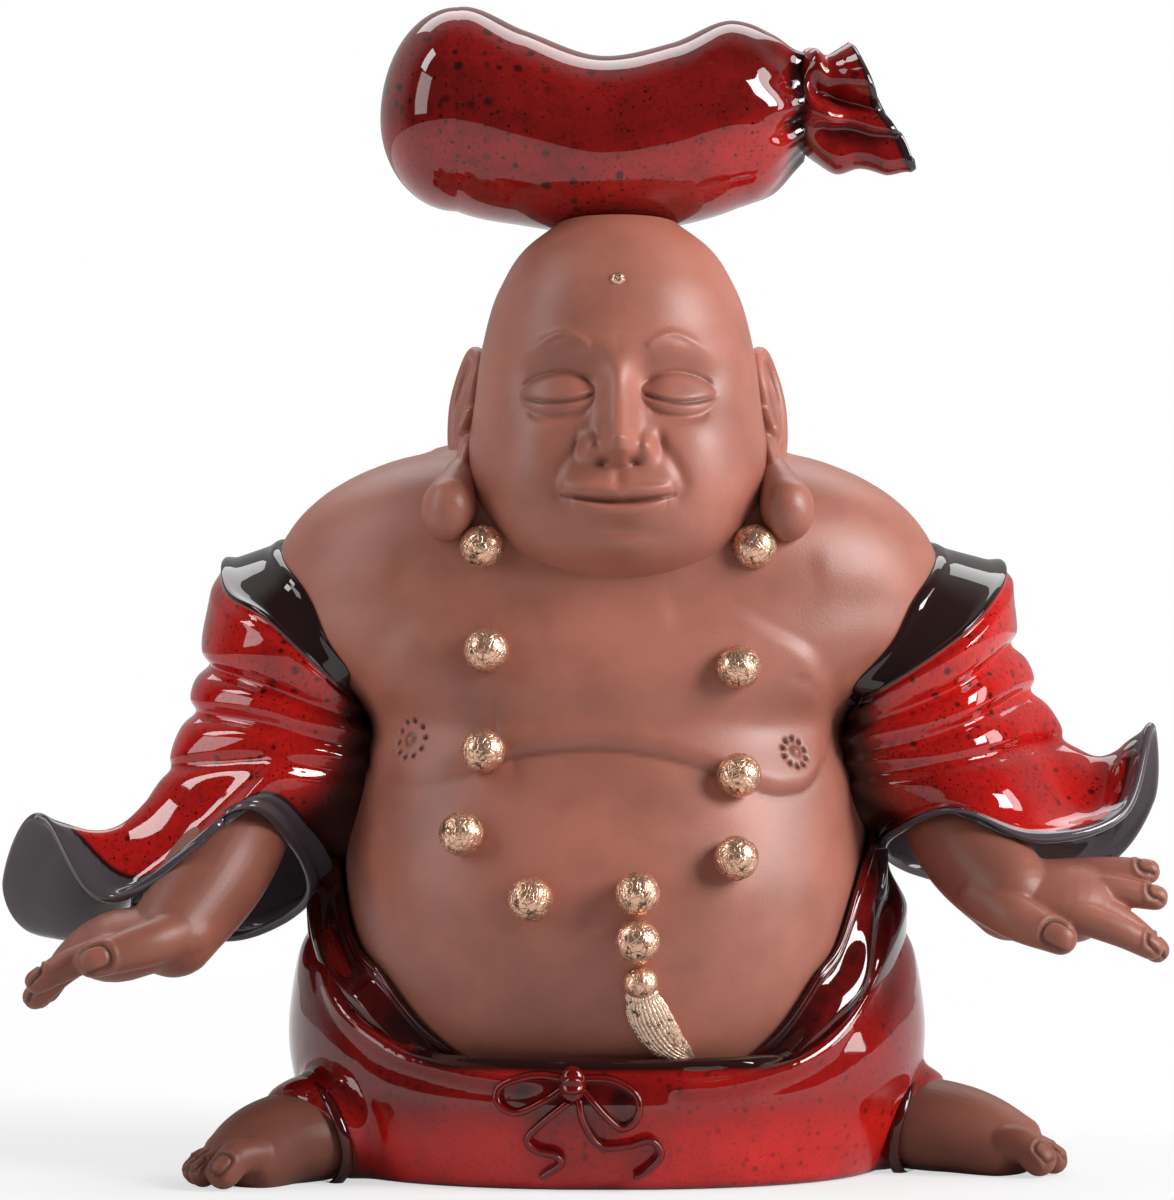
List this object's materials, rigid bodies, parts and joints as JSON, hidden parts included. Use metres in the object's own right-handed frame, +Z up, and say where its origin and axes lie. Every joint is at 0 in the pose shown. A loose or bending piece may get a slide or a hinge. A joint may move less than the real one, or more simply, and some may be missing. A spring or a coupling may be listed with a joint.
{
  "type": "ceramic monk figurine",
  "caption": "Seated round-bellied monk figurine in brown clay and red glaze, with flared sleeves, bead necklace and a sack on the head; stands on a flat base.",
  "frame": {"origin": "middle of the bounding box, at the table plane under the base", "axes": "+Z up, the figure looks along -Y, +X is to the right of a viewer in front of it"},
  "size_m": [0.2752, 0.1284, 0.2741],
  "materials": {
    "clay": "unglazed matte brown stoneware",
    "red_glaze": "glossy mottled red glaze",
    "dark_glaze": "glossy red glaze pooled almost black",
    "gilding": "antique gold leaf over clay"
  },
  "bodies": {
    "root": {"trunk": "clay", "head": "clay", "right_ear": "clay", "left_ear": "clay", "right_arm": "clay", "left_arm": "clay", "right_foot": "clay", "left_foot": "clay", "base_plate": "clay", "sack": "red_glaze", "sack_mouth": "red_glaze", "right_sleeve": "red_glaze", "left_sleeve": "red_glaze", "trousers": "red_glaze", "robe": "dark_glaze", "bow_knot": "dark_glaze", "bow_right_loop": "dark_glaze", "bow_left_loop": "dark_glaze", "bow_right_tail": "dark_glaze", "bow_left_tail": "dark_glaze", "urna_stud": "gilding", "tassel_cap": "gilding", "tassel": "gilding", "bead_01": "gilding", "bead_02": "gilding", "bead_03": "gilding", "bead_04": "gilding", "bead_05": "gilding", "bead_06": "gilding", "bead_07": "gilding", "bead_08": "gilding", "bead_09": "gilding", "bead_10": "gilding", "bead_11": "gilding"}
  },
  "joints": []
}
